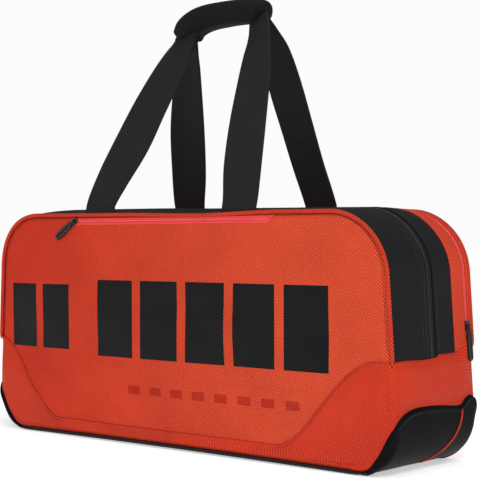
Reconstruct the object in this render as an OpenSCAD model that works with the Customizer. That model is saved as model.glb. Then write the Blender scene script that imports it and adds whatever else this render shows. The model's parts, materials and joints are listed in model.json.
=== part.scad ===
// Racket tournament bag: a long soft bag with a front pocket, a main compartment and a rear
// compartment, moulded corner guards and two webbing handles held together by a padded grip.
// X runs along the bag, -Y is the front face and Z is up. The origin is on the surface the bag
// stands on, under the middle of the bag.

/* [Bag] */
// Length over the ends at their widest, just above the corner guards
bag_l = 754; // [640:1:880]
// Height of the front edge
bag_h = 330; // [290:1:390]
// Depth from the front face to the back face
bag_w = 180; // [150:1:216]
// How much shorter the bag is at its top corners than at its widest
top_taper = 20; // [0:1:40]
// Radius of the two top corners
top_r = 88; // [70:1:104]
// Radius of the two bottom corners
bottom_r = 72; // [55:1:86]
// How far the soft top rises between its front and back edges
crown = 9; // [0:0.5:15]

/* [Fabric] */
// Thickness of one lined fabric wall
wall = 3; // [2:0.1:4]
// Thickness of the foam behind the front and the back
foam_t = 3.6; // [2:0.1:5]
// Radius of the corded piping
piping_r = 2.6; // [1.5:0.1:3]

/* [Boot and base] */
// Height of the boot's top edge at the ends
boot_h = 142; // [120:1:165]
// Height of the boot's seam on the middle of the front
seam_low = 26; // [15:1:40]
// Length of each guard's flat foot under the bag, before the base panel begins
guard_foot = 3; // [1:0.5:20]
// Thickness of the guards and of the base panel
guard_t = 2.5; // [1.5:0.1:4]
// Height of the guards at the ends
guard_h = 86; // [60:1:100]
// Width of the band by which each guard laps onto the front and the back
guard_lap = 11; // [6:1:20]
// Thickness of the stiff base board
board_t = 3; // [2:0.1:5]

/* [Zips] */
// Height of the front pocket's zip below the top edge
pocket_zip_drop = 11; // [9:0.5:16]
// Left end of the front pocket's zip
pocket_zip_left = -204; // [-230:1:-180]
// Right end of the front pocket's zip
pocket_zip_right = 192; // [170:1:220]
// Width of the closed main zip over both its tapes
main_zip_w = 20; // [16:0.5:24]
// Width of the closed pocket zip and rear zip
small_zip_w = 10; // [8:0.5:12]
// Distance of the main zip in front of the middle
main_zip_off = 5; // [0:1:12]
// Distance of the divider behind the middle
divider_off = 48; // [40:1:56]
// Distance of the rear zip in front of the back panel
rear_zip_inset = 9; // [8.5:0.5:11]
// Height of the rear zip's ends above the boot's top edge
rear_zip_rise = 26; // [15:1:40]
// Length of a zip pull
pull_l = 46; // [35:1:55]

/* [Handles] */
// Width of the handle webbing
strap_w = 60; // [40:1:66]
// Thickness of the handle webbing
strap_t = 3; // [2:0.1:4]
// Length of a handle from its seam to the middle of the grip
handle_v = 285; // [250:1:330]
// Length of the padded grip
grip_l = 166; // [130:1:190]
// Distance of the grip's middle to the right of the bag's middle
grip_off = 17; // [0:1:30]
// Height of the padded grip's cross-section
grip_h = 36; // [32:1:42]

/* [Hidden] */

// Clearances: between pieces that move apart, and between pieces of one body.
gap = 0.3;
snug = 0.2;
// Steps in each corner arc.
arc_steps = 12;

// Planes along Y.
front_y = -bag_w / 2;
back_y = bag_w / 2;
main_zip_y = -main_zip_off;
divider_y = divider_off;
rear_zip_y = back_y - wall - rear_zip_inset;
panel_in = front_y + wall;
pocket_depth = 8;
front_wall_y = panel_in + pocket_depth;
foam_y = front_wall_y + wall + snug;

// Corner centres of the outline, and the slope of its slightly leaning ends.
low_c = [bag_l / 2 - bottom_r, guard_t + bottom_r];
top_c = [(bag_l - top_taper) / 2 - top_r, bag_h - top_r];
corner_d = top_c - low_c;
side_a = atan2(corner_d.y, corner_d.x) - acos((bottom_r - top_r) / norm(corner_d));
side_n = [cos(side_a), sin(side_a)];

// Red cloth, dark cloth and the rest.
red = "#d04a30";
pink = "#e84b50";
black = "#1d1f22";
grey = "#8a8f94";

// ---- outline of the bag seen from the front ----

function arc(c, r, a0, a1) =
    [for (k = [0 : arc_steps]) let (a = a0 + (a1 - a0) * k / arc_steps) c + r * [cos(a), sin(a)]];
function mirrored(pts) = [for (k = [len(pts) - 1 : -1 : 0]) [-pts[k].x, pts[k].y]];
// X of the right end's line at height z, moved inwards by an inset.
function side_x(z, inset) =
    let (p = low_c + (bottom_r - inset) * side_n) p.x - (z - p.y) * tan(side_a);
function low_arc(inset) = arc(low_c, bottom_r - inset, -90, side_a);
function top_arc(inset, rise) = arc(top_c + [0, rise], top_r - inset, side_a, 90);
function outline(inset, rise = 0) =
    let (right = concat(low_arc(inset), top_arc(inset, rise))) concat(right, mirrored(right));
// The part of the outline above height z, from the right end over the top to the left end.
function arch_line(inset, rise, z) =
    let (right = concat([[side_x(z, inset), z]], top_arc(inset, rise)))
    concat(right, mirrored(right));
// The part of the outline below height z, from the left end under the bag to the right end.
function bowl_line(inset, z) =
    let (right = concat(low_arc(inset), [[side_x(z, inset), z]])) concat(mirrored(right), right);
function reversed(pts) = [for (k = [len(pts) - 1 : -1 : 0]) pts[k]];

// Rise of the soft top at depth y.
function crown_at(y) = crown * (1 - pow(y / (bag_w / 2), 2));

// ---- shared shapes ----

// A flat piece of the outline's plane between depths y0 and y1.
module plate(pts, y0, y1) {
    translate([0, y1, 0]) rotate([90, 0, 0]) linear_extrude(y1 - y0) polygon(pts);
}

// Side faces between rings of n points.
function skin_faces(rings, n) = concat(
    [for (j = [0 : rings - 2], k = [0 : n - 1]) let (m = (k + 1) % n)
        [j * n + k, j * n + m, (j + 1) * n + m]],
    [for (j = [0 : rings - 2], k = [0 : n - 1]) let (m = (k + 1) % n)
        [j * n + k, (j + 1) * n + m, (j + 1) * n + k]]
);
// The two ends of a cord, and the two long edges of a strip whose ring runs out and back.
function round_caps(rings, n) =
    [[for (k = [n - 1 : -1 : 0]) k], [for (k = [0 : n - 1]) (rings - 1) * n + k]];
function strip_caps(rings, n) = let (last = (rings - 1) * n) concat(
    [for (k = [0 : n / 2 - 2]) [k, n - 1 - k, n - 2 - k]],
    [for (k = [0 : n / 2 - 2]) [k, n - 2 - k, k + 1]],
    [for (k = [0 : n / 2 - 2]) [last + k, last + n - 2 - k, last + n - 1 - k]],
    [for (k = [0 : n / 2 - 2]) [last + k, last + k + 1, last + n - 2 - k]]
);

// A strip of cloth over the top and down both ends to height z, crowned along Y.
module arch(ys, inset_out, inset_in, z) {
    rings = [for (y = ys) let (rise = crown_at(y)) concat(
        arch_line(inset_out, rise, z), reversed(arch_line(inset_in, rise, z)))];
    n = len(rings[0]);
    polyhedron(
        [for (j = [0 : len(ys) - 1], p = rings[j]) [p.x, ys[j], p.y]],
        concat(skin_faces(len(ys), n), strip_caps(len(ys), n)), convexity = 6);
}

// A round cord along a path of points; its section starts square to the first stretch.
function unit(v) = v / norm(v);
module cord(path, r, side) {
    last = len(path) - 1;
    ways = [for (k = [0 : last]) unit(path[min(k + 1, last)] - path[max(k - 1, 0)])];
    polyhedron(
        [for (k = [0 : last]) let (u = unit(cross(ways[k], side)), v = cross(u, ways[k]))
            for (s = [0 : 7]) path[k] + r * (cos(s * 45) * u + sin(s * 45) * v)],
        concat(skin_faces(last + 1, 8), round_caps(last + 1, 8)), convexity = 4);
}

// Both mirror images of a shape across the bag's middle.
module both_ends() {
    children();
    mirror([1, 0, 0]) children();
}

// ---- base and boot ----

base_inner_z = guard_t + wall;
base_half = low_c.x - guard_foot;
rear_zip_end = boot_h + rear_zip_rise;
fold_low = boot_h - gap;
fold_high = boot_h + gap;
rear_low = rear_zip_end - gap;
rear_high = rear_zip_end + gap;

module base_panel() {
    color(black) translate([-base_half, front_y, 0]) cube([2 * base_half, bag_w, guard_t]);
}

module base_board() {
    half = low_c.x - 4;
    color(grey) translate([-half, panel_in + snug, base_inner_z + snug])
        cube([2 * half, bag_w - 2 * wall - 2 * snug, board_t]);
}

// One end of the boot: up the end and under the bag as far as the middle.
module boot_end() {
    outer = concat([[snug / 2, guard_t]], low_arc(0), [[side_x(boot_h, 0), boot_h]]);
    inner = concat([[snug / 2, base_inner_z]], low_arc(wall), [[side_x(boot_h, wall), boot_h]]);
    color(red) plate(concat(outer, reversed(inner)), panel_in, -panel_in);
}
module boot_end_right() { boot_end(); }
module boot_end_left() { mirror([1, 0, 0]) boot_end(); }

// The boot's seam sweeps up from the middle of the front to the boot's top edge at each end.
seam_side = side_x(fold_low, 0);
seam_end = [seam_side - 25, seam_side - 2];
seam_start = [seam_end[0] - 163, seam_end[1] - 137];
function ease(t) = t * t * (3 - 2 * t);
function seam_z(x) =
    let (s = x > 0 ? 0 : 1,
         t = (abs(x) - seam_start[s]) / (seam_end[s] - seam_start[s]))
    seam_low + (fold_low - seam_low) * ease(max(0, min(1, t)));
seam_steps = 14;
seam_right = [for (k = [0 : seam_steps])
    let (x = seam_start[0] + (seam_end[0] - seam_start[0]) * k / seam_steps) [x, seam_z(x)]];
seam_left = [for (k = [0 : seam_steps])
    let (x = -seam_start[1] - (seam_end[1] - seam_start[1]) * k / seam_steps) [x, seam_z(x)]];

module boot_front() {
    color(red) plate(
        concat(bowl_line(0, fold_low), reversed(seam_right), seam_left), front_y, panel_in);
}

module front_panel_lower() {
    color(red) plate(concat(reversed(seam_left), seam_right), front_y, panel_in);
}

module boot_back() {
    color(red) plate(bowl_line(0, rear_low), -panel_in, back_y);
}

module front_wall_lower() {
    floor_z = base_inner_z + board_t + 2 * snug;
    color(grey) intersection() {
        plate(bowl_line(wall + snug, fold_low), front_wall_y, front_wall_y + wall);
        translate([-bag_l, front_y, floor_z]) cube([2 * bag_l, bag_w, bag_h]);
    }
}

// A guard covers one lower end and laps round its edge onto the front and the back.
module guard() {
    outer = concat([[base_half + snug, 0]],
        arc(low_c, bottom_r + guard_t, -90, side_a), [[side_x(guard_h, -guard_t), guard_h]]);
    inner = concat([[base_half + snug, guard_t]], low_arc(0), [[side_x(guard_h, 0), guard_h]]);
    lap = concat([[base_half + snug, guard_t + guard_lap]], low_arc(guard_lap),
        [[side_x(guard_h, guard_lap), guard_h]]);
    y_out = front_y - guard_t;
    color(black) union() {
        plate(concat(outer, reversed(inner)), y_out, -y_out);
        for (y = [y_out, -front_y]) plate(concat(outer, reversed(lap)), y, y + guard_t);
    }
}
module corner_guard_right() { guard(); }
module corner_guard_left() { mirror([1, 0, 0]) guard(); }

// Red cord laid on each guard, down from its rear edge and forwards along the bottom corner.
guard_cord_r = 1.2;
guard_cord_line = [[62, 76], [60, 64], [54, 50], [42, 36], [24, 25], [2, 17], [-22, 11]];
module guard_piping() {
    lift = guard_t + guard_cord_r + snug;
    path = [for (p = guard_cord_line) let (drop = max(0, low_c.y - p.y))
        [low_c.x + sqrt(pow(bottom_r + lift, 2) - pow(drop, 2)) - max(0, p.y - low_c.y) * tan(side_a),
         p.x, p.y]];
    color(pink) both_ends() cord(path, guard_cord_r, [0, 1, 1]);
}

// ---- fixed upper part ----

tape_in = 0.8;
tape_t = 1.4;
coil_w = 2.2;
coil_t = 1.4;
coil_gap = 0.1;

module gusset_middle() {
    y0 = main_zip_y + main_zip_w / 2;
    color(black) arch([y0, (y0 + divider_y) / 2, divider_y], 0, wall, boot_h);
}

module gusset_rear() {
    y1 = rear_zip_y - small_zip_w / 2;
    color(red) arch([divider_y, (divider_y + y1) / 2, y1], 0, wall, boot_h);
}

// Cloth between the boot's top edge and the end of the rear zip, at each end.
module rear_end_patches() {
    y0 = rear_zip_y - small_zip_w / 2;
    pts = [[side_x(boot_h, wall), boot_h], [side_x(boot_h, 0), boot_h],
        [side_x(rear_low, 0), rear_low], [side_x(rear_low, wall), rear_low]];
    color(red) both_ends() plate(pts, y0, -panel_in);
}

module divider() {
    floor_z = base_inner_z + board_t + 2 * snug;
    color(grey) intersection() {
        plate(outline(wall + snug, crown_at(divider_y + wall)), divider_y, divider_y + wall);
        translate([-bag_l, front_y, floor_z]) cube([2 * bag_l, bag_w, 2 * bag_h]);
    }
}

// Half of a zip: a tape from the middle of the zip outwards, with the coil close behind its edge.
module zip_tape(y_mid, w, way, z) {
    ys = [y_mid + way * gap / 2, y_mid + way * (w / 2 - snug)];
    color(black) arch(way > 0 ? ys : reversed(ys), tape_in, tape_in + tape_t, z);
}
module zip_coil(y_mid, way, z) {
    ys = [y_mid + way * gap / 2, y_mid + way * coil_w];
    back = tape_in + tape_t + coil_gap;
    color(grey) arch(way > 0 ? ys : reversed(ys), back, back + coil_t, z);
}

module main_zip_tape_fixed() { zip_tape(main_zip_y, main_zip_w, 1, boot_h); }
module main_zip_coil_fixed() { zip_coil(main_zip_y, 1, boot_h); }
module rear_zip_tape_fixed() { zip_tape(rear_zip_y, small_zip_w, -1, rear_low); }
module rear_zip_coil_fixed() { zip_coil(rear_zip_y, -1, rear_low); }

// ---- front shell: opens about its fold at the boot's top edge ----

panel_inset = piping_r + 2 * snug;
pocket_zip_z = bag_h - pocket_zip_drop;

module front_pocket_panel() {
    color(red) difference() {
        plate(arch_line(panel_inset, 0, fold_high), front_y, panel_in);
        translate([pocket_zip_left, front_y - 1, pocket_zip_z - small_zip_w / 2])
            cube([pocket_zip_right - pocket_zip_left, wall + 2, small_zip_w]);
    }
}

module front_wall() {
    color(grey) plate(arch_line(wall + snug, 0, fold_high), front_wall_y, front_wall_y + wall);
}

module front_foam() {
    color(grey) plate(arch_line(wall + snug, 0, fold_high), foam_y, foam_y + foam_t);
}

module edge_piping(y, z) {
    path = [for (p = arch_line(0, 0, z)) [p.x, y, p.y]];
    color(pink) cord(path, piping_r, [0, 1, 0]);
}
module front_piping() { edge_piping(panel_in - piping_r, fold_high + 2 * piping_r); }

module gusset_front() {
    y1 = main_zip_y - main_zip_w / 2;
    color(black) difference() {
        arch([panel_in, (2 * panel_in + y1) / 3, (panel_in + 2 * y1) / 3, y1],
            0, wall, fold_high);
        anchor_slots(front_legs, -1);
    }
}

module pocket_zip_tapes() {
    h = small_zip_w / 2 - snug - 0.9;
    color(pink) for (z = [pocket_zip_z - small_zip_w / 2 + snug, pocket_zip_z + 0.9])
        translate([pocket_zip_left + snug, front_y + tape_in, z])
            cube([pocket_zip_right - pocket_zip_left - 2 * snug, tape_t, h]);
}

module pocket_zip_coil() {
    color(pink) translate([pocket_zip_left + snug, front_y + tape_in, pocket_zip_z - 0.8])
        cube([pocket_zip_right - pocket_zip_left - 2 * snug, wall - tape_in, 1.6]);
}

module main_zip_tape_moving() { zip_tape(main_zip_y, main_zip_w, -1, fold_high); }
module main_zip_coil_moving() { zip_coil(main_zip_y, -1, fold_high); }

// ---- handles ----

// Each handle leans in from its seam by the top edge to the grip over the bag's middle.
anchor_y = -panel_in - snug - strap_t / 2;
strap_y = anchor_y;
strap_z = bag_h + piping_r + strap_t / 2 + 2 * gap;
grip_bar_r = 11;
grip_bar_y = 12;
lean = asin((strap_y - grip_bar_y) / handle_v);
grip_z = strap_z + handle_v * cos(lean);
grip_left = grip_off - grip_l / 2;
grip_right = grip_off + grip_l / 2;

// A leg of webbing as [where it is sewn on, where it is half way up, where it meets the grip].
front_legs = [[-148, -90, grip_left + 16], [123, 117, grip_right - 8]];
rear_legs = [[-129, -106, grip_left + 8], [128, 104, grip_right - 10]];

function leg(at) = let (w = strap_w / 2, v = handle_v) [
    [at[0] - w, 0], [at[0] + w, 0], [at[1] + w - 2, v * 0.52], [at[2] + w * 0.6, v - grip_bar_r],
    [at[2], v], [at[2] - w * 0.6, v - grip_bar_r], [at[1] - w + 2, v * 0.52]];

// Stands a shape drawn in a handle's own plane (X along the bag, Y up the handle) in its place.
module lean_in(front) {
    mirror([0, front ? 0 : 1, 0])
        translate([0, -strap_y, strap_z]) rotate([90 - lean, 0, 0]) children();
}

module webbing(legs, front) {
    color(black) lean_in(front) union() {
        for (at = legs) {
            translate([0, 0, -strap_t / 2]) linear_extrude(strap_t) polygon(leg(at));
            translate([at[0] - strap_w / 2, 0, 0]) rotate([0, 90, 0])
                cylinder(r = strap_t / 2 - 0.05, h = strap_w, $fn = 32);
        }
        translate([legs[0][2], handle_v, 0]) rotate([0, 90, 0])
            cylinder(r = grip_bar_r, h = legs[1][2] - legs[0][2], $fn = 48);
    }
}
module front_handle_webbing() { webbing(front_legs, true); }
module rear_handle_webbing() { webbing(rear_legs, false); }

// The sewn ends of the webbing, from inside the bag up through the seam to the handle.
anchor_h = 34;
anchor_top = strap_z - strap_t / 2 - gap;
module anchors(legs, way) {
    h = anchor_top - bag_h + anchor_h;
    color(black) for (at = legs)
        translate([at[0], way * anchor_y, anchor_top - h / 2])
            cube([strap_w, strap_t, h], center = true);
}
module anchor_slots(legs, way) {
    for (at = legs) translate([at[0], way * anchor_y, bag_h])
        cube([strap_w + 2 * snug, strap_t + 2 * snug, 4 * wall], center = true);
}
module front_handle_anchors() { anchors(front_legs, -1); }
module rear_handle_anchors() { anchors(rear_legs, 1); }

// Section of the padded grip in the Y-Z plane; its two halves part in the middle.
strip_t = 0.8;
split = gap / 2 + strip_t;
module grip_section() {
    r = grip_h / 2;
    translate([-grip_bar_y + 4, 0]) circle(r = r, $fn = 64);
    translate([grip_bar_y - 4, 0]) circle(r = r, $fn = 64);
    square([2 * grip_bar_y - 8, grip_h], center = true);
}
module along_grip(x0, l) {
    translate([x0, 0, grip_z]) rotate([90, 0, 90]) linear_extrude(l) children();
}
module grip_half(way) {
    color(black) along_grip(grip_left, grip_l) difference() {
        grip_section();
        translate([way * grip_bar_y, 0]) circle(r = grip_bar_r + snug, $fn = 48);
        translate([-way * 50 + way * split, 0]) square([100, 100], center = true);
    }
}
module grip_front_half() { grip_half(-1); }
module grip_rear_half() { grip_half(1); }

// Hook and loop strips along the two lips where the grip's halves meet.
lip = 5;
module lip_strips(way) {
    y = way * (gap / 2 + strip_t / 2);
    color(grey) along_grip(grip_left + 6, grip_l - 12)
        for (z = [-1, 1]) translate([y, z * (grip_h / 2 - lip / 2 - 0.5)])
            square([strip_t, lip], center = true);
}
module grip_hook_strips() { lip_strips(-1); }
module grip_loop_strips() { lip_strips(1); }

// ---- rear shell: opens about its fold at the end of the rear zip ----

module back_panel() {
    color(red) plate(arch_line(panel_inset, 0, rear_high), -panel_in, back_y);
}
module back_foam() {
    color(grey) difference() {
        plate(arch_line(wall + snug, 0, rear_high), -panel_in - snug - foam_t, -panel_in - snug);
        for (at = rear_legs)
            translate([at[0] - strap_w / 2 - snug, 0, bag_h - anchor_h - snug])
                cube([strap_w + 2 * snug, bag_w, anchor_h + wall]);
    }
}
module back_piping() { edge_piping(-panel_in + piping_r, rear_high + 2 * piping_r); }
module gusset_back() {
    color(red) difference() {
        arch([rear_zip_y + small_zip_w / 2, -panel_in], 0, wall, rear_high);
        anchor_slots(rear_legs, 1);
    }
}
module rear_zip_tape_moving() { zip_tape(rear_zip_y, small_zip_w, 1, rear_high); }
module rear_zip_coil_moving() { zip_coil(rear_zip_y, 1, rear_high); }

// ---- zip sliders and pulls, drawn on a front face: -Y is outwards and the pull hangs down ----

slider_w = 9;
slider_l = 12;
plate_t = 1.6;
pin_r = 0.9;
pin_off = plate_t + 1.7;
lug_t = 1.4;
eye_w = 3;
eye_r = 1.6;
pull_w = 10;
pull_t = 2.6;

module slider() {
    color(grey) union() {
        translate([-slider_w / 2, -plate_t, -slider_l / 2]) cube([slider_w, plate_t, slider_l]);
        for (s = [-1, 1]) translate([s * (eye_w / 2 + gap + lug_t / 2), -pin_off / 2, 0])
            cube([lug_t, pin_off, 3], center = true);
        for (s = [-1, 1]) translate([s * (eye_w / 2 + gap + lug_t / 2), -pin_off, 0])
            rotate([0, 90, 0]) cylinder(r = 1.5, h = lug_t, center = true, $fn = 32);
        translate([0, -pin_off, 0]) rotate([0, 90, 0])
            cylinder(r = pin_r, h = eye_w + 2 * gap + lug_t, center = true, $fn = 32);
    }
}

module pull() {
    neck = 7;
    color(black) translate([0, -pin_off, 0]) difference() {
        union() {
            rotate([0, 90, 0]) cylinder(r = eye_r, h = eye_w, center = true, $fn = 32);
            translate([-eye_w / 2, -0.7, -neck]) cube([eye_w, 1.4, neck]);
            translate([0, pull_t / 2 - 0.7, -neck]) rotate([90, 0, 0]) linear_extrude(pull_t) union() {
                translate([0, -pull_w / 2 + 1]) circle(d = pull_w, $fn = 48);
                translate([-pull_w / 2, neck + pull_w / 2 - pull_l])
                    square([pull_w, pull_l - neck - pull_w + 1]);
                translate([0, neck + pull_w / 2 - pull_l]) circle(d = pull_w, $fn = 48);
            }
        }
        rotate([0, 90, 0]) cylinder(r = pin_r + 0.05, h = eye_w + 1, center = true, $fn = 32);
    }
}

// Where each slider sits at rest; the pocket's pull lies slanting on the panel.
pocket_slider_x = pocket_zip_left + slider_l / 2 + 1;
pocket_pull_a = 58;
main_slider_z = boot_h + 20;
rear_slider_z = rear_zip_end + 10;
module at_pocket() {
    translate([pocket_slider_x, front_y - gap, pocket_zip_z]) rotate([0, pocket_pull_a, 0])
        children();
}
module at_main() {
    translate([-side_x(main_slider_z, -gap) - slider_l * tan(side_a) / 2, main_zip_y, main_slider_z])
        rotate([0, 0, -90]) children();
}
module at_rear() {
    translate([side_x(rear_slider_z, -gap) + slider_l * tan(side_a) / 2, rear_zip_y, rear_slider_z])
        rotate([0, 0, 90]) children();
}
module pocket_slider() { at_pocket() slider(); }
module pocket_pull() { at_pocket() pull(); }
module main_slider() { at_main() slider(); }
module main_pull() { at_main() pull(); }
module rear_slider() { at_rear() slider(); }
module rear_pull() { at_rear() pull(); }

base_panel();
base_board();
boot_end_left();
boot_end_right();
boot_front();
boot_back();
front_panel_lower();
front_wall_lower();
corner_guard_left();
corner_guard_right();
guard_piping();
gusset_middle();
gusset_rear();
rear_end_patches();
divider();
main_zip_tape_fixed();
main_zip_coil_fixed();
rear_zip_tape_fixed();
rear_zip_coil_fixed();
front_pocket_panel();
front_wall();
front_foam();
front_piping();
gusset_front();
pocket_zip_tapes();
pocket_zip_coil();
main_zip_tape_moving();
main_zip_coil_moving();
front_handle_anchors();
back_panel();
back_foam();
back_piping();
gusset_back();
rear_zip_tape_moving();
rear_zip_coil_moving();
rear_handle_anchors();
front_handle_webbing();
grip_front_half();
grip_hook_strips();
rear_handle_webbing();
grip_rear_half();
grip_loop_strips();
pocket_slider();
pocket_pull();
main_slider();
main_pull();
rear_slider();
rear_pull();
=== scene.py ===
import json
import math

import bmesh
import bpy
from mathutils import Matrix, Vector, noise


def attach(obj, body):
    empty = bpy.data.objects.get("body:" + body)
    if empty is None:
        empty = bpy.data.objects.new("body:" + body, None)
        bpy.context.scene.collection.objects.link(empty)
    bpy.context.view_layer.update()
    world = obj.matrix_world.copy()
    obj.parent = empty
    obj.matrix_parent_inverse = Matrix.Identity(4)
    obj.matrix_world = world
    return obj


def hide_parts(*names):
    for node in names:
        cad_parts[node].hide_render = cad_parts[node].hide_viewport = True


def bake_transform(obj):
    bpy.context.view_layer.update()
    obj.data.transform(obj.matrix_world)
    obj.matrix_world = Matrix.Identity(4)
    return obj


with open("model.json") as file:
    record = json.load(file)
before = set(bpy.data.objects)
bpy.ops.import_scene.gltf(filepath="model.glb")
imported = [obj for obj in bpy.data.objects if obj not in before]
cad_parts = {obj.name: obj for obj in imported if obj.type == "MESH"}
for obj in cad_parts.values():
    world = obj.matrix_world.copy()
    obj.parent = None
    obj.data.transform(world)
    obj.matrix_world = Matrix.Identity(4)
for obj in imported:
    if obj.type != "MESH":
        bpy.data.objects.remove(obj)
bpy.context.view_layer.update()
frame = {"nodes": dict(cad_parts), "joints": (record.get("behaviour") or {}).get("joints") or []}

# ---- room: floor, camera and soft lights ----
# The bag stands on a plain pale floor in soft, even studio light. The floor fades into the
# backdrop with distance, so no horizon shows.

WHITE = (1.0, 1.0, 1.0, 1.0)
LENS, SENSOR = 103.94, 36.0
EYE = (1.3485, -1.4568, 0.3065)
FLOOR_HALF, FADE_FROM, FADE_TO = 14.0, 1.0, 3.4
BACKDROP = 0.97

camera_data = bpy.data.cameras.new("camera")
camera_data.lens, camera_data.sensor_width = LENS, SENSOR
camera_data.clip_start, camera_data.clip_end = 0.05, 50.0
camera = bpy.data.objects.new("camera", camera_data)
yaw, pitch, roll = math.radians(41.74), math.radians(0.48), math.radians(-0.55)
ahead = Vector((-math.sin(yaw) * math.cos(pitch), math.cos(yaw) * math.cos(pitch),
                -math.sin(pitch)))
right = Vector((math.cos(yaw), math.sin(yaw), 0.0))
above = right.cross(ahead)
side = math.cos(roll) * right + math.sin(roll) * above
top = -math.sin(roll) * right + math.cos(roll) * above
camera.matrix_world = Matrix((
    (side.x, top.x, -ahead.x, EYE[0]), (side.y, top.y, -ahead.y, EYE[1]),
    (side.z, top.z, -ahead.z, EYE[2]), (0, 0, 0, 1)))
bpy.context.scene.collection.objects.link(camera)
bpy.context.scene.camera = camera


def plain(name, colour, rough, shine=0.5):
    """A new material and its shader, with a plain colour and roughness to start from."""
    made = bpy.data.materials.new(name)
    made.use_nodes = True
    shader = made.node_tree.nodes["Principled BSDF"]
    shader.inputs["Base Color"].default_value = (*colour, 1.0)
    shader.inputs["Roughness"].default_value = rough
    shader.inputs["Specular IOR Level"].default_value = shine
    return made, shader


def ranged(tree, value, low, high, start=0.0, stop=1.0):
    """A map-range node: its value going from start to stop gives low to high."""
    node = tree.nodes.new("ShaderNodeMapRange")
    for label, number in (("From Min", start), ("From Max", stop),
                          ("To Min", low), ("To Max", high)):
        node.inputs[label].default_value = number
    tree.links.new(value, node.inputs["Value"])
    return node.outputs["Result"]


def lamp(name, place, aim, size, watts):
    """A square soft box at a place, turned towards a point."""
    light = bpy.data.lights.new(name, "AREA")
    light.size, light.energy = size, watts
    held = bpy.data.objects.new(name, light)
    held.location = place
    held.rotation_euler = (Vector(aim) - Vector(place)).to_track_quat("-Z", "Y").to_euler()
    bpy.context.scene.collection.objects.link(held)


floor_mesh = bmesh.new()
bmesh.ops.create_grid(floor_mesh, x_segments=8, y_segments=8, size=FLOOR_HALF)
floor_data = bpy.data.meshes.new("floor")
floor_mesh.to_mesh(floor_data)
floor = bpy.data.objects.new("floor", floor_data)
bpy.context.scene.collection.objects.link(floor)
paper, paper_shader = plain("floor_paper", (0.90, 0.90, 0.90), 0.9, shine=0.05)
paper_shader.inputs["Emission Strength"].default_value = BACKDROP
paper_tree = paper.node_tree
spot_on_floor = paper_tree.nodes.new("ShaderNodeTexCoord")
far_off = paper_tree.nodes.new("ShaderNodeVectorMath")
far_off.operation = "LENGTH"
paper_tree.links.new(spot_on_floor.outputs["Object"], far_off.inputs[0])
for socket, near, far in (("Emission Color", 0.536, 1.0), ("Base Color", 0.90, 0.0)):
    fade = ranged(paper_tree, far_off.outputs["Value"], near, far, FADE_FROM, FADE_TO)
    paper_tree.links.new(fade, paper_shader.inputs[socket])
floor_data.materials.append(paper)

room = bpy.data.worlds.new("room")
room.use_nodes = True
sky = room.node_tree.nodes["Background"]
sky.inputs["Color"].default_value = WHITE
seen = room.node_tree.nodes.new("ShaderNodeLightPath")
level = ranged(room.node_tree, seen.outputs["Is Camera Ray"], 0.34, BACKDROP)
room.node_tree.links.new(level, sky.inputs["Strength"])
bpy.context.scene.world = room
bpy.context.scene.view_settings.view_transform = "Standard"
lamp("key_box", (1.7, -1.5, 1.9), (0.1, -0.05, 0.2), 0.9, 34)
lamp("fill_box", (-1.6, -2.0, 0.9), (-0.1, -0.1, 0.2), 1.4, 5)
lamp("top_box", (0.2, 0.2, 2.3), (0, 0, 0.3), 1.6, 12)


# ---- front panel: red ballistic cloth over the front pocket ----
# The real panel is one piece of coated red ballistic cloth, padded from behind by a foam sheet and
# sewn into the corded edge all round. Its top is cut open for the pocket's zip, and its lower edge
# runs on under the boot.

MM = 0.001
# the ends lean in towards the top, between a lower and an upper round (middle X and Z, radius)
LEAN = math.radians(3.407)
LOW_X, LOW_Z, LOW_R = 0.305, 0.0745, 0.072
HIGH_X, HIGH_Z, HIGH_R = 0.279, 0.242, 0.088
# a point of the leaning side, and the heights where the rounds meet it
SIDE_X, SIDE_Z = 0.37688, 0.07878
LOW_END, HIGH_END = 0.0788, 0.2472
# the outline's lowest and highest points, and half the bag's depth
FOOT_Z, TOP_Z, FACE_Y = 0.0025, 0.330, 0.090


def end_x(z, inset=0.0):
    """Where the bag's right end is at a height, moved inwards by an inset."""
    low, high = LOW_R - inset, HIGH_R - inset
    if z < LOW_Z + low * math.sin(LEAN):
        return LOW_X + math.sqrt(max(0.0, low ** 2 - (z - LOW_Z) ** 2))
    if z > HIGH_Z + high * math.sin(LEAN):
        return HIGH_X + math.sqrt(max(0.0, high ** 2 - (z - HIGH_Z) ** 2))
    return SIDE_X - inset / math.cos(LEAN) - (z - SIDE_Z) * math.tan(LEAN)


def inside(x, z):
    """How far a point of the front is from the bag's outline."""
    x = abs(x)
    if z < LOW_END and x > LOW_X:
        return LOW_R - math.hypot(x - LOW_X, z - LOW_Z)
    if z > HIGH_END and x > HIGH_X:
        return HIGH_R - math.hypot(x - HIGH_X, z - HIGH_Z)
    leaning = (SIDE_X - (z - SIDE_Z) * math.tan(LEAN) - x) * math.cos(LEAN)
    return min(z - FOOT_Z, TOP_Z - z, leaning)


def ease(t):
    """A smooth step from 0 to 1 as t goes from 0 to 1."""
    t = max(0.0, min(1.0, t))
    return t * t * (3.0 - 2.0 * t)


def hump(t, width):
    """A smooth bump: 1 at zero, and falling off over a width to each side."""
    return math.exp(-(t / width) ** 2)


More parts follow.
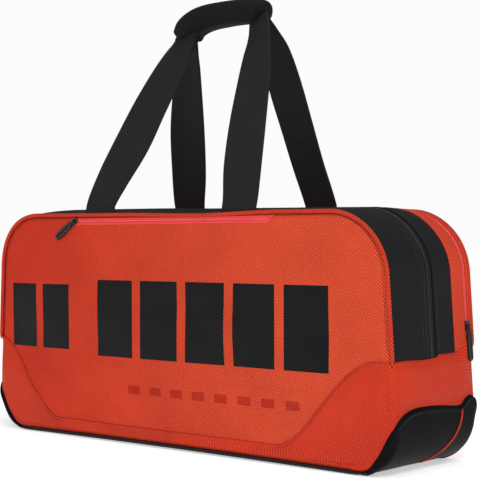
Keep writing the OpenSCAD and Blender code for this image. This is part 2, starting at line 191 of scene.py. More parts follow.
def through(line, v):
    """Values at v on a smooth curve through listed stations, the first number of each being v."""
    k = max(0, min(len(line) - 2, sum(1 for entry in line[1:] if entry[0] <= v)))
    here, there = line[k], line[k + 1]
    before, after = line[max(0, k - 1)], line[min(len(line) - 1, k + 2)]
    span = there[0] - here[0]
    f = (v - here[0]) / span
    values = []
    for q0, q1, q2, q3 in zip(before[1:], here[1:], there[1:], after[1:]):
        start, stop = (q2 - q0) / (there[0] - before[0]), (q3 - q1) / (after[0] - here[0])
        values.append((2 * f ** 3 - 3 * f * f + 1) * q1 + (f ** 3 - 2 * f * f + f) * span * start
                      + (3 * f * f - 2 * f ** 3) * q2 + (f ** 3 - f * f) * span * stop)
    return values


# stations along the top in millimetres: X, the drop at the corded edges, the drop between them
SAG = ((-400, 0, 1), (-279, 0.6, 2.0), (-200, 1.5, 2.2), (-100, 2.2, 2.8), (-30, 3.6, 4.2),
       (45, 5.0, 5.0), (90, 4.6, 5.3), (140, 3.0, 5.8), (185, 2.1, 6.2), (220, 2.2, 6.6),
       (279, 2.6, 7.2), (400, 2.4, 7.0))


def sag(x, y, z):
    """How far the soft top hangs below its cut pattern: at its corded edges, and between them."""
    edge, between = through(SAG, x / MM)
    drop = edge + (between - edge) * max(0.0, 1 - (y / FACE_Y) ** 2)
    return drop * MM * ease((z - 0.25) / 0.075)


def join(name, bm, *finishes, wall=0.0, smooth=True):
    """Turns a bmesh into an object at the origin, with its materials and an inward wall."""
    data = bpy.data.meshes.new(name)
    bm.to_mesh(data)
    bm.free()
    for finish in finishes:
        data.materials.append(finish)
    data.shade_smooth() if smooth else data.shade_flat()
    piece = bpy.data.objects.new(name, data)
    bpy.context.scene.collection.objects.link(piece)
    if wall:
        thick = piece.modifiers.new("wall", "SOLIDIFY")
        thick.thickness, thick.offset, thick.use_even_offset = wall, -1.0, False
    return piece


# the least height of any cloth above the floor
CLEAR = 0.0002


def fuller(point):
    """Moves a point outwards where the soft corners are squarer than round ones."""
    x, y, z = point
    for middle_x, middle_z, up, power in ((LOW_X, LOW_Z, -1, 2.4), (-LOW_X, LOW_Z, -1, 2.4),
                                          (-HIGH_X, HIGH_Z, 1, 2.35)):
        across, away = (x - middle_x) * math.copysign(1, middle_x), (z - middle_z) * up
        if across > 0 and away > 0:
            size = math.hypot(across, away)
            grow = ((across / size) ** power + (away / size) ** power) ** (-1 / power)
            x = middle_x + (x - middle_x) * grow
            z = max(CLEAR, middle_z + (z - middle_z) * grow)
    return Vector((x, y, z))


def cloth(columns, rows, place):
    """An even grid laid where place(a, b) says, a and b running 0 to 1. place gives the point and
    the thread position there, in metres, which becomes the cloth's UV map."""
    bm = bmesh.new()
    bmesh.ops.create_grid(bm, x_segments=columns, y_segments=rows, size=0.5)
    threads = {}
    for vert in bm.verts:
        point, threads[vert] = place(vert.co.x + 0.5, vert.co.y + 0.5)
        vert.co = fuller(point)
    cut = bm.loops.layers.uv.new("cut")
    for face in bm.faces:
        for loop in face.loops:
            loop[cut].uv = threads[loop.vert]
    return bm


def node_group(name, inputs, outputs):
    """An empty node group, with its inputs' kinds and starting values, and number outputs."""
    group = bpy.data.node_groups.new(name, "ShaderNodeTree")
    for label, kind, start in inputs:
        socket = group.interface.new_socket(name=label, in_out="INPUT", socket_type=kind)
        if start is not None:
            socket.default_value = start
    for label in outputs:
        group.interface.new_socket(name=label, in_out="OUTPUT", socket_type="NodeSocketFloat")
    return group, group.nodes.new("NodeGroupInput"), group.nodes.new("NodeGroupOutput")


def fill(tree, node, parts):
    """Sets a node's inputs, each from a socket or to a fixed value."""
    for label, part in parts:
        if isinstance(part, bpy.types.NodeSocket):
            tree.links.new(part, node.inputs[label])
        elif part is not None:
            node.inputs[label].default_value = part
    return node


def step(tree, kind, first, second=None):
    """A math node on one or two numbers or sockets."""
    node = tree.nodes.new("ShaderNodeMath")
    node.operation = kind
    return fill(tree, node, enumerate((first, second))).outputs[0]


def mixed(tree, factor, first, second, blend="MIX"):
    """A colour mix node on sockets or fixed colours."""
    node = tree.nodes.new("ShaderNodeMix")
    node.data_type, node.blend_type = "RGBA", blend
    return fill(tree, node, (("Factor", factor), ("A", first), ("B", second))).outputs["Result"]


def split(tree, vector):
    """The parts of a vector."""
    parts = tree.nodes.new("ShaderNodeSeparateXYZ")
    tree.links.new(vector, parts.inputs["Vector"])
    return parts.outputs


def bumped(tree, shader, height, strength, deep):
    """Puts a bump from a height on a shader."""
    relief = tree.nodes.new("ShaderNodeBump")
    fill(tree, relief, (("Height", height), ("Strength", strength), ("Distance", deep)))
    tree.links.new(relief.outputs["Normal"], shader.inputs["Normal"])


def weave_group():
    """Slanted ribs of a woven cloth from its UV map: the ribs' height, and slow colour changes."""
    group, source, out = node_group(
        "woven_ribs",
        (("Thread", "NodeSocketVector", None), ("Pitch", "NodeSocketFloat", 0.0024),
         ("Slant", "NodeSocketFloat", 0.785), ("Break", "NodeSocketFloat", 0.35)),
        ("Height", "Patches"))
    link = group.links.new
    turned = group.nodes.new("ShaderNodeVectorRotate")
    turned.rotation_type = "Z_AXIS"
    link(source.outputs["Thread"], turned.inputs["Vector"])
    link(source.outputs["Slant"], turned.inputs["Angle"])
    parts = split(group, turned.outputs["Vector"])
    turns = step(group, "DIVIDE", 6.2832, source.outputs["Pitch"])
    ribs = step(group, "SINE", step(group, "MULTIPLY", parts["X"], turns))
    longer = step(group, "MULTIPLY", turns, 0.8)
    breaks = step(group, "SINE", step(group, "MULTIPLY", parts["Y"], longer))
    both = step(group, "ADD", ribs, step(group, "MULTIPLY", breaks, source.outputs["Break"]))
    link(step(group, "ADD", step(group, "MULTIPLY", both, 0.35), 0.5), out.inputs["Height"])
    cloud = group.nodes.new("ShaderNodeTexNoise")
    cloud.inputs["Scale"].default_value = 9.0
    cloud.inputs["Detail"].default_value = 3.0
    link(source.outputs["Thread"], cloud.inputs["Vector"])
    link(cloud.outputs["Fac"], out.inputs["Patches"])
    return group


woven = weave_group()


def thread_map(tree):
    """The thread position of a piece of cloth, from its UV map."""
    thread = tree.nodes.new("ShaderNodeUVMap")
    thread.uv_map = "cut"
    return thread.outputs["UV"]


def woven_finish(name, dark, light, rough, pitch=0.0024, slant=0.785, broken=0.35, bump=0.35,
                 shine=0.12, print_and_shade_on=None):
    """A cloth's material: ribs in two tones with slow patches, and the ribs again as bump."""
    made, shader = plain(name, light, rough, shine)
    tree = made.node_tree
    ribs = tree.nodes.new("ShaderNodeGroup")
    ribs.node_tree = woven
    fill(tree, ribs, (("Thread", thread_map(tree)), ("Pitch", pitch), ("Slant", slant),
                      ("Break", broken)))
    tones = mixed(tree, ribs.outputs["Height"], (*dark, 1), (*light, 1))
    patches = ranged(tree, ribs.outputs["Patches"], 0.86, 1.06, 0.3, 0.7)
    colour = mixed(tree, 1.0, tones, patches, "MULTIPLY")
    if print_and_shade_on:
        colour = print_and_shade_on(tree, colour, shader)
    tree.links.new(colour, shader.inputs["Base Color"])
    bumped(tree, shader, ribs.outputs["Height"], bump, 0.0004)
    return made


# the row of printed blocks: each one's middle X, half width, foot and head
BLOCKS = [(x, 0.030, 0.130, 0.226) for x in (-0.312, -0.236)]
BLOCKS += [(x, 0.036, 0.124, 0.234) for x in (-0.108, -0.020, 0.068, 0.156, 0.244)]


def blocks_group():
    """Plain upright printed blocks in a row and a row of small dashes, as masks."""
    group, source, out = node_group("printed_blocks", (("Thread", "NodeSocketVector", None),),
                                    ("Blocks", "Tone strip"))
    parts = split(group, source.outputs["Thread"])
    x, z = parts["X"], parts["Y"]

    def within(value, middle, half):
        away = step(group, "ABSOLUTE", step(group, "SUBTRACT", value, middle))
        return step(group, "LESS_THAN", away, half)

    row = None
    for middle, half, foot, head in BLOCKS:
        block = step(group, "MULTIPLY", within(x, middle, half),
                     within(z, (foot + head) / 2, (head - foot) / 2))
        row = block if row is None else step(group, "MAXIMUM", row, block)
    group.links.new(row, out.inputs["Blocks"])
    beat = step(group, "LESS_THAN", step(group, "FRACT", step(group, "MULTIPLY", x, 24.0)), 0.55)
    band = step(group, "MULTIPLY", within(x, 0.075, 0.175), within(z, 0.079, 0.006))
    group.links.new(step(group, "MULTIPLY", band, beat), out.inputs["Tone strip"])
    return group


printed = blocks_group()


def print_and_painted_shade(tree, colour, shader):
    """Lays the dashes and the blocks over the cloth, and paints shade that makes the cloth darker
    towards its left end, in place of the light falling from the right.
    The blocks' ink is smoother than the cloth."""
    thread = thread_map(tree)
    mask = tree.nodes.new("ShaderNodeGroup")
    mask.node_tree = printed
    tree.links.new(thread, mask.inputs["Thread"])
    blocks, dashes = mask.outputs["Blocks"], mask.outputs["Tone strip"]
    dashed = mixed(tree, dashes, colour, (0.72, 0.42, 0.40, 1), "MULTIPLY")
    # painted shade: the cloth's colour darkens from the middle to the left end, standing in for
    # light falling from the right
    painted_left_shade = ranged(tree, split(tree, thread)["X"], 0.0, 1.0, 0.22, -0.30)
    left_shaded_cloth = mixed(tree, painted_left_shade, dashed, (0.88, 0.48, 0.42, 1), "MULTIPLY")
    tree.links.new(ranged(tree, blocks, 0.62, 0.34), shader.inputs["Roughness"])
    return mixed(tree, blocks, left_shaded_cloth, (0.004, 0.004, 0.005, 1))


RED_DARK, RED_LIGHT = (0.40, 0.016, 0.006), (0.86, 0.118, 0.044)
front_red = woven_finish("front_red_cloth", RED_DARK, RED_LIGHT, 0.62, pitch=0.0027, broken=0.75,
                         bump=0.8, shine=0.11, print_and_shade_on=print_and_painted_shade)


# how far out the front and back sheets are where they leave their cords
EDGE_Y = 0.0868


def front_depth(x, z):
    """How far the padded front stands out at a point, with its puckers and hand-made unevenness."""
    near = inside(x, z)
    out = EDGE_Y + 0.0034 * ease((near - 0.003) / 0.007)
    out += 0.0058 * ease((near - 0.022) / 0.095)
    out += 0.0020 * noise.noise(Vector((x * 13.0, z * 17.0, 3.1))) * ease((near - 0.012) / 0.05)
    below_zip = max(0.0, 0.313 - z)
    pucker = math.sin(190.0 * (x + 0.6 * z) + 3.0 * noise.noise(Vector((x * 20.0, 1.7, 0.0))))
    out += 0.0009 * pucker * math.exp(-below_zip / 0.030) * ease(below_zip / 0.006)
    # the seam between the pocket's cloth and the lower cloth shows as a fine groove
    low_seam = z - 0.0985 - 0.0015 * x / 0.3
    if -0.36 < x < 0.29:
        out -= 0.0007 * hump(low_seam, 0.0012)
        out += 0.0004 * ease(-low_seam / 0.002)
    return -out


# the grid's rows run up the corner, the side, the upper corner, and the zip's slot to the cord;
# its columns are even between the corners and squeezed towards the ends
ZIP_X, ZIP_Z = (-0.204, 0.180), 0.319
SLOT = (0.314, 0.324)
FLAT_X, EDGE_COLUMNS = 0.262, 22
low_rows = [LOW_Z + 0.069 * math.sin(math.radians(-90 + 93.4 * k / 16)) for k in range(17)]
mid_rows = [LOW_Z + 0.069 * math.sin(LEAN) + (0.2470 - 0.0786) * k / 56 for k in range(1, 57)]
top_rows = [0.2470 + (SLOT[0] - 0.2470) * math.sin(math.radians(90 * k / 22)) ** 0.85
            for k in range(1, 23)]
zip_rows = [SLOT[0], 0.3165, ZIP_Z, 0.3215, SLOT[1]]
cord_rows = [0.3251, 0.3262, 0.3275, 0.3288]
front_rows = low_rows + mid_rows + top_rows[:-1] + zip_rows + cord_rows
middle_columns = [-FLAT_X + (ZIP_X[0] + FLAT_X) * k / 12 for k in range(12)]
middle_columns += [ZIP_X[0] + (ZIP_X[1] - ZIP_X[0]) * k / 88 for k in range(88)]
middle_columns += [ZIP_X[1] + (FLAT_X - ZIP_X[1]) * k / 14 for k in range(15)]
COLUMNS = len(middle_columns) - 1 + 2 * EDGE_COLUMNS


def edge_sag(x, z):
    """The sag of the front or back sheet, which its corded edge takes nearly all of."""
    return sag(x, FACE_Y, z) * ease((0.0072 - inside(x, z)) / 0.0060)


def face_point(a, b, rows, depth, inset):
    """A point of a full front or back sheet: even columns in the middle, squeezed at the ends."""
    z = rows[round(b * (len(rows) - 1))]
    k = round(a * COLUMNS)
    past = max(EDGE_COLUMNS - k, k - EDGE_COLUMNS - len(middle_columns) + 1)
    if past > 0:
        out = (end_x(z, inset) - FLAT_X) * math.sin(math.pi / 2 * past / EDGE_COLUMNS)
        x = math.copysign(FLAT_X + out, a - 0.5)
    else:
        x = middle_columns[k - EDGE_COLUMNS]
    return (x, depth(x, z), z - edge_sag(x, z)), (x, z)


def front_sheet():
    """The front cloth's grid, cut open along the pocket's zip."""
    bm = cloth(COLUMNS, len(front_rows) - 1,
               lambda a, b: face_point(a, b, front_rows, front_depth, 0.0012))
    cut = bm.loops.layers.uv.active
    slot = []
    for face in bm.faces:
        middle = sum((loop[cut].uv for loop in face.loops), Vector((0, 0))) / len(face.loops)
        if ZIP_X[0] < middle.x < ZIP_X[1] and SLOT[0] < middle.y < SLOT[1]:
            slot.append(face)
    bmesh.ops.delete(bm, geom=slot, context="FACES")
    return bm


front_panel = join("front_panel_cloth", front_sheet(), front_red, wall=0.0013)
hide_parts("front_pocket_panel", "front_panel_lower")
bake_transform(front_panel)


# ---- back panel: the same cloth, bare, behind the rear compartment ----
# One plain padded sheet from the base to the top edge, which folds at the end of the rear zip.

back_red = woven_finish("back_red_cloth", RED_DARK, RED_LIGHT, 0.64, pitch=0.0027, bump=0.7)
back_rows = low_rows + mid_rows + top_rows + [0.3165, ZIP_Z, 0.3215, 0.3238] + cord_rows


def back_depth(x, z):
    """How far the padded back stands out at a point."""
    near = inside(x, z)
    out = EDGE_Y + 0.0030 * ease((near - 0.003) / 0.007) + 0.0055 * ease((near - 0.02) / 0.1)
    return out + 0.0014 * noise.noise(Vector((x * 11.0, z * 15.0, 8.4))) * ease(near / 0.03)


back_bm = cloth(COLUMNS, len(back_rows) - 1,
                lambda a, b: face_point(1.0 - a, b, back_rows, back_depth, 0.0012))
back_panel = join("back_panel_cloth", back_bm, back_red, wall=0.0013)
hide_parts("back_panel", "boot_back")
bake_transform(back_panel)


# ---- boot: one red piece round the lower front, the ends and under the bag ----
# The boot is cut from the same cloth with its weave turned, and sewn over the front panel along a
# seam that sweeps up from the middle of the bottom to the boot's top edge at each end.

boot_red = woven_finish("boot_red_cloth", (0.36, 0.014, 0.005), (0.76, 0.056, 0.017), 0.60,
                        pitch=0.0027, slant=-0.62, broken=0.6, bump=0.7, shine=0.14)
EDGE_R = 0.008
BOOT_TOP = 0.1420


def bowl(p, inset, head):
    """The outline under the bag and up its right end: p 0 to 1 under the bag, 1 to 2 round the
    corner, 2 to 3 up to a height. Gives the point's X and Z, and the way out."""
    r = LOW_R - inset
    if p <= 1.0:
        return LOW_X * p, LOW_Z - r, 0.0, -1.0
    if p <= 2.0:
        turn = -math.pi / 2 + (p - 1.0) * (math.pi / 2 + LEAN)
        out, up = math.cos(turn), math.sin(turn)
        return LOW_X + r * out, LOW_Z + r * up, out, up
    low = LOW_Z + r * math.sin(LEAN)
    z = low + (head - low) * (p - 2.0)
    return end_x(z, inset), z, math.cos(LEAN), math.sin(LEAN)


def round_end(q):
    """The section across an end, q from the front (-) to the back (+): the inset, Y, and the way
    out, shared between outwards and front or back."""
    flat, turn = FACE_Y - EDGE_R, EDGE_R * math.pi / 2
    way = -1.0 if q < 0 else 1.0
    if abs(q) <= flat:
        return 0.0, q, 1.0, 0.0
    if abs(q) <= flat + turn:
        angle = (abs(q) - flat) / EDGE_R
        return (EDGE_R * (1 - math.cos(angle)), way * (flat + EDGE_R * math.sin(angle)),
                math.cos(angle), way * math.sin(angle))
    return EDGE_R + abs(q) - flat - turn, way * FACE_Y, 0.0, way


def boot_head(y):
    """Height of the boot's top edge at a depth: it steps up behind the main zip and the divider."""
    return (BOOT_TOP + 0.0008 * math.sin(y * 70.0) + 0.0028 * ease((y - 0.004) / 0.006)
            + 0.004 * ease((y - 0.047) / 0.004) + 0.0175 * ease((y - 0.058) / 0.014))


# where the seam's sweep starts and stops, at the right end and at the left end
SEAM_SWEEP = {1.0: (0.1851, 0.3481), -1.0: (0.2341, 0.3711)}
SEAM_FOOT, SEAM_RISE = 0.026, 0.1160
ROUND_Q = FACE_Y - EDGE_R + EDGE_R * math.pi / 2
# the boot's stations across: on the front from the seam to the edge, then round the end to the
# back; and its rows from the left end, under the bag, to the right end
face_stations = [1.0 - k / 15 for k in range(15)]
end_stations = [-ROUND_Q + (ROUND_Q - 0.082) * k / 5 for k in range(5)]
end_stations += [-0.082 + 0.164 * k / 34 for k in range(35)]
end_stations += [0.082 + (ROUND_Q - 0.082) * k / 5 for k in range(1, 6)]
end_stations += [ROUND_Q + 0.004, ROUND_Q + 0.008, ROUND_Q + 0.012]
boot_rows = [3.0 - k / 18 for k in range(18)] + [2.0 - k / 18 for k in range(18)] + [
    1.0 - k / 26 for k in range(26)]
boot_rows = [-p for p in boot_rows] + [0.0] + boot_rows[::-1]
ARC = LOW_R * (math.pi / 2 + LEAN)


def run_of(p):
    """Length of thread along the outline up to p."""
    p = abs(p)
    return LOW_X * min(p, 1.0) + ARC * max(0.0, min(1.0, p - 1.0)) + 0.063 * max(0.0, p - 2.0)


def boot_point(a, b):
    """A point of the boot: its rows follow the outline, and its stations cross the front from the
    seam, the rounded edge, the end or the bottom, and the back's edge."""
    p = boot_rows[round(a * (len(boot_rows) - 1))]
    flip = -1.0 if p < 0 else 1.0
    k = round(b * (len(face_stations) + len(end_stations) - 1))
    run = run_of(p)
    if k < len(face_stations):
        f = face_stations[k]
        x, z, _, _ = bowl(abs(p), EDGE_R, BOOT_TOP)
        start, stop = SEAM_SWEEP[flip]
        if run <= start:
            seam_x, seam_z = x, SEAM_FOOT
        else:
            e = (run - start) / (run_of(3.0) - start)
            seam_x, seam_z = start + (stop - start) * e, SEAM_FOOT + SEAM_RISE * ease(e)
        x, z = x + (seam_x - x) * f, z + (seam_z - z) * f
        y = min(front_depth(flip * x, z) - 0.0010, -0.0901)
        puff = 0.0046 * ease((1 - f) / 0.30) * ease(f / 0.3) * ease((run - 0.28) / 0.12)
        y -= puff * (0.6 + 1.3 * noise.noise(Vector((flip * x * 15.0, z * 15.0, 5.0))))
        y -= 0.0007 * hump(1 - f - 0.05, 0.05)
        return (flip * x, y, z), (flip * (z + 0.343), x - end_x(z) - ROUND_Q)
    q = end_stations[k - len(face_stations)]
    inset, y, out, away = round_end(q)
    head = boot_head(y)
    x, z, nx, nz = bowl(abs(p), inset, head)
    rise = ease((z - 0.086) / 0.016) * ease((head - z) / 0.012)
    puff = 0.0006 + 0.0040 * rise * ease((0.089 - abs(y)) / 0.03)
    puff += 0.0026 * rise * noise.noise(Vector((flip * x * 10.0, y * 20.0, z * 24.0)))
    if 1.0 < abs(p) <= 2.0 or z < 0.084:
        puff = 0.0003 if abs(p) > 1.0 else 0.0
    x, z = x + out * nx * puff, z + out * nz * puff
    y += away * (0.0005 if abs(p) > 1.0 else 0.0)
    if abs(p) <= 1.0:
        z += 0.0004 + 0.0016 * (1 - (x / LOW_X) ** 2) * ease((abs(q) - 0.05) / 0.03)
    return (flip * x, y, z), (flip * run, q)


boot_bm = cloth(len(boot_rows) - 1, len(face_stations) + len(end_stations) - 1, boot_point)
bmesh.ops.reverse_faces(boot_bm, faces=boot_bm.faces)
boot = join("boot_cloth", boot_bm, boot_red, wall=0.0012)
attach(boot, "base")
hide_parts("boot_front", "boot_end_left", "boot_end_right", "rear_end_patches")


# ---- base: stiff black sheet under the bag ----
# A moulded sheet with a low lip that shows as a thin black line along the bottom of the front.

def grainy(name, dark, light, scale, smooth, rough, bump, shine=0.5):
    """A moulded or rubbery finish: fine grain in roughness and bump, and broad patches of tone."""
    made, shader = plain(name, light, rough, shine)
    tree = made.node_tree
    place = tree.nodes.new("ShaderNodeTexCoord")
    grain, broad = (tree.nodes.new("ShaderNodeTexNoise") for _ in range(2))
    grain.inputs["Scale"].default_value, grain.inputs["Detail"].default_value = scale, 4.0
    broad.inputs["Scale"].default_value = 18.0
    for clouds in (grain, broad):
        tree.links.new(place.outputs["Object"], clouds.inputs["Vector"])
    roughness = ranged(tree, grain.outputs["Fac"], smooth, rough)
    tree.links.new(roughness, shader.inputs["Roughness"])
    tones = mixed(tree, broad.outputs["Fac"], (*dark, 1), (*light, 1))
    tree.links.new(tones, shader.inputs["Base Color"])
    bumped(tree, shader, grain.outputs["Fac"], bump, 0.0003)
    return made, shader


sheet_black, _ = grainy("base_black_sheet", (0.010, 0.010, 0.011), (0.018, 0.018, 0.019), 900.0,
                        0.45, 0.65, 0.2, shine=0.10)
# the base sheet's columns in Y, doubled where its edges turn up
base_stations = [-0.0915, -0.0915, -0.0912, -0.0895, -0.086]
base_stations += [-0.08 + 0.16 * k / 16 for k in range(17)]
base_stations += [0.086, 0.0895, 0.0912, 0.0915, 0.0915]


def base_point(a, b):
    """A point of the base sheet, whose long edges turn up as a lip and arch a little."""
    p = -1.24 + 2.48 * a
    flip = -1.0 if p < 0 else 1.0
    k = round(b * (len(base_stations) - 1))
    y = base_stations[k]
    edge = min(k, len(base_stations) - 1 - k)
    fade = 1.0 - 0.6 * ease((abs(p) - 1.0) / 0.24)
    lift = (0.0052, 0.0030, 0.0011, 0.0003, 0.0)[edge] * fade if edge < 5 else 0.0
    x, z, _, _ = bowl(abs(p), lift - 0.0018, 0.14)
    bow = 0.0016 * max(0.0, 1 - (x / LOW_X) ** 2)
    return (flip * x, y, z + bow * ease((abs(y) - 0.05) / 0.04)), (flip * x, y)


base_bm = cloth(60, len(base_stations) - 1, base_point)
bmesh.ops.reverse_faces(base_bm, faces=base_bm.faces)
base_sheet = join("base_sheet", base_bm, sheet_black, wall=0.0016)
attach(base_sheet, "base")
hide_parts("base_panel")


# ---- corner guards: padded black rubber cups over the lower ends ----
# Each guard is one soft moulded skin with a rolled rim, glued and sewn over the boot. It laps round
# onto the front and the back as a narrow band, and has a raised lobe at its rear corner.

rubber, _ = grainy("guard_black_rubber", (0.003, 0.003, 0.0035), (0.007, 0.007, 0.008), 1400.0,
                   0.34, 0.50, 0.15, shine=0.025)
# stations across the end in millimetres: Y, and the height of the guard's top edge
GUARD_TOP = ((-100, 56), (-91, 65), (-82, 73), (-70, 79), (-52, 83), (-30, 84), (6, 82), (44, 78),
             (55, 79), (63, 85), (74, 89), (82, 87), (90, 80), (100, 72))
GUARD_LOW = LOW_Z + LOW_R * math.sin(LEAN)
# how far a guard's foot runs in under the bag
GUARD_UNDER = 0.0024


def guard_head(y):
    """Height of a guard's top edge at a depth."""
    return through(GUARD_TOP, y / MM)[0] * MM


def guard_reach(z):
    """How far a guard's skin runs round the end's edge at a height: most at mid height, where it
    laps onto the front and the back, and just to the edge at its foot and at its top."""
    t = max(0.0, min(1.0, (z - 0.004) / 0.076))
    return 0.0845 + 0.0135 * (4 * t * (1 - t)) ** 0.8


# shares of the reach at which a guard's columns stand, closest at its rolled rim
guard_share = [-1.0, -0.995, -0.985, -0.97, -0.95, -0.93, -0.905, -0.88, -0.85]
guard_share += [-0.82 + 1.64 * k / 52 for k in range(53)]
guard_share += [-share for share in guard_share[8::-1]]


def guard_run(s):
    """Where a guard's skin is after a run from its foot: the outline's p, and the height there."""
    if s < 0.0:
        return 1.0 + s / LOW_X, FOOT_Z
    if s <= ARC:
        p = 1.0 + s / ARC
        return p, LOW_Z + LOW_R * math.sin((p - 1.0) * (math.pi / 2 + LEAN) - math.pi / 2)
    return 3.0, GUARD_LOW + s - ARC


def guard_point(a, b, flip):
    """A point of a guard's skin: up the outline by run, and across the end by share."""
    climb = 1 - (1 - a) ** 1.3
    share = guard_share[round(b * (len(guard_share) - 1))]
    edge = guard_reach(guard_run(-GUARD_UNDER + (ARC + 0.0036) * climb)[1])
    q = share * edge
    inset, y, out, away = round_end(q)
    head = guard_head(y)
    turn = math.asin((min(head, GUARD_LOW) - LOW_Z) / LOW_R)
    whole = LOW_R * (turn + math.pi / 2) + max(0.0, head - GUARD_LOW)
    p, height = guard_run(-GUARD_UNDER + (whole + GUARD_UNDER) * climb)
    x, z, nx, nz = bowl(p, inset, height)
    up = max(0.0, head - z) if p > 1.4 else 0.05
    rim = min(up, edge - abs(q))
    if p < 1.1:
        rim = max(rim, 0.02 * (1.1 - p) / 0.1)
    high = 0.0004 + 0.0021 * ease(rim / 0.0022) + 0.0019 * hump(rim - 0.0045, 0.0026)
    high += 0.0006 * noise.noise(Vector((x * 15.0, y * 15.0, z * 15.0))) * ease((up - 0.01) / 0.02)
    if p <= 1.0:
        high = 0.0021
    point = Vector((x + out * nx * high, y + away * high, z + out * nz * high))
    point.z = max(point.z, CLEAR)
    point.x *= flip
    return point, (flip * run_of(p), q)


for tag, flip in (("left", -1.0), ("right", 1.0)):
    guard_bm = cloth(80, len(guard_share) - 1, lambda a, b: guard_point(a, b, flip))
    if flip > 0:
        bmesh.ops.reverse_faces(guard_bm, faces=guard_bm.faces)
    guard = join("corner_guard_skin_" + tag, guard_bm, rubber, wall=0.0016)
    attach(guard, "base")
    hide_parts("corner_guard_" + tag)


# ---- gussets: the cloth over the top and down the ends ----
# Three strips over the top: black in front of and behind the main zip, and red between the black
# one and the rear zip, with a narrow red strip behind that. Their edges turn in along the zips.

black_cloth = woven_finish("gusset_black_cloth", (0.006, 0.006, 0.007), (0.017, 0.017, 0.019), 0.7,
                           pitch=0.0012, slant=0.0, broken=1.0, bump=0.4, shine=0.09)
gusset_red = woven_finish("gusset_red_cloth", RED_DARK, (0.78, 0.085, 0.035), 0.62,
                          slant=0.0, broken=0.7, pitch=0.0018, bump=0.4)


def arch(a, foot, inset=0.0, rise=0.0):
    """A point of the outline over the top, a 0 at the left foot to 1 at the right foot, with the
    way out there and the length of thread run."""
    r = HIGH_R - inset
    foot_x = end_x(foot, inset)
    knee_x, knee_z = HIGH_X + r * math.cos(LEAN), HIGH_Z + r * math.sin(LEAN)
    side_run = math.hypot(knee_x - foot_x, knee_z - foot)
    arc_run = r * (math.pi / 2 - LEAN)
    half = side_run + arc_run + HIGH_X
    d = (1.0 - abs(2.0 * a - 1.0)) * half
    flip = -1.0 if a < 0.5 else 1.0
    if d < side_run:
        t = d / side_run
        x, z, nx, nz = foot_x + (knee_x - foot_x) * t, foot + (knee_z - foot) * t, 1.0, 0.06
    elif d < side_run + arc_run:
        turn = LEAN + (d - side_run) / r
        nx, nz = math.cos(turn), math.sin(turn)
        x, z = HIGH_X + r * nx, HIGH_Z + rise * ease((d - side_run) / arc_run) + r * nz
    else:
        x, z, nx, nz = half - d, HIGH_Z + rise + r, 0.0, 1.0
    return flip * x, z, flip * nx, nz, 2.0 * a * half


def settled(x, y, z):
    """A point of the top, let down by the sag there."""
    return x, y, z - sag(x, y, z)


def crown(y):
    """How far the top rises at a depth between its edges."""
    return 0.009 * (1 - (y / FACE_Y) ** 2)


# rows across a gusset strip, and the height over which it flattens into the boot
GUSSET_ROWS, TUCK = 22, 0.008


def gusset(name, y0, y1, foot, finish, node, lips=(0, 0), puff=0.0):
    """A strip of gusset cloth between two depths, with raised lips along its zip edges."""
    across = [y0 + (y1 - y0) * (0.5 - 0.5 * math.cos(math.pi * k / GUSSET_ROWS))
              for k in range(GUSSET_ROWS + 1)]

    def place(a, b):
        y = across[round(b * GUSSET_ROWS)]
        s = (y - y0) / (y1 - y0)
        high = puff * math.sin(math.pi * s) ** 0.7
        x, z, nx, nz, run = arch(a, foot, 0.0, crown(y))
        high += lips[0] * hump(y - y0 - 0.0022, 0.0024) + lips[1] * hump(y1 - y - 0.0022, 0.0024)
        high += 0.0008 * noise.noise(Vector((x * 9.0, y * 30.0, z * 9.0))) * math.sin(math.pi * s)
        high *= ease((z - foot) / TUCK) if z < foot + TUCK else 1.0
        return settled(x + nx * high, y, z + nz * high), (run, y)

    piece = join(name, cloth(260, GUSSET_ROWS, place), finish, wall=0.0012)
    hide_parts(node)
    return piece


front_gusset = gusset("gusset_front_cloth", -0.0872, -0.0150, 0.1400, black_cloth,
                      "gusset_front", lips=(0, 0.0010), puff=0.0012)
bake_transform(front_gusset)
middle_gusset = gusset("gusset_middle_cloth", 0.0050, 0.0482, 0.1410, black_cloth,
                       "gusset_middle", lips=(0.0010, 0), puff=0.0010)
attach(middle_gusset, "base")
rear_gusset = gusset("gusset_rear_cloth", 0.0478, 0.0732, 0.1440, gusset_red,
                     "gusset_rear", lips=(0.0006, 0.0011), puff=0.0010)
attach(rear_gusset, "base")
back_gusset = gusset("gusset_back_cloth", 0.0828, 0.0885, 0.1600, gusset_red,
                     "gusset_back", lips=(0.0008, 0))
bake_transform(back_gusset)


# ---- piping: corded edges of the front and the back ----
# A round cord wrapped in red twill, sewn between the panel and the gusset. A stitched groove runs
# beside it on the panel.

piping_red = woven_finish("piping_red_twill", (0.26, 0.008, 0.004), (0.80, 0.070, 0.026), 0.58,
                          slant=0.9, pitch=0.0030, broken=0.2, bump=1.0)
CORD_R = 0.0027


def sealed(bm, gap=1e-6):
    """Welds a tube's long edge and closes its ends, with its faces outwards."""
    bmesh.ops.remove_doubles(bm, verts=bm.verts, dist=gap)
    bmesh.ops.holes_fill(bm, edges=bm.edges, sides=0)
    bmesh.ops.recalc_face_normals(bm, faces=bm.faces)
    return bm


def piping(name, y, foot, node):
    """A cord over the top along one edge, thinner at its two ends."""
    def place(a, b):
        turn = 2 * math.pi * b
        x, z, nx, nz, run = arch(a, foot)
        thin = 1.0 - 0.5 * hump(min(a, 1 - a), 0.004)
        out, away = CORD_R * thin * math.cos(turn), CORD_R * thin * math.sin(turn)
        drop = sag(x, y, z)
        return (x + nx * out, y - away, z + nz * out - drop), (run, CORD_R * turn)

    piece = join(name, sealed(cloth(300, 14, place)), piping_red)
    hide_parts(node)
    return piece


front_cord = piping("front_piping_cord", -0.0896, 0.1390, "front_piping")
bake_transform(front_cord)
back_cord = piping("back_piping_cord", 0.0896, 0.1500, "back_piping")
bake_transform(back_cord)


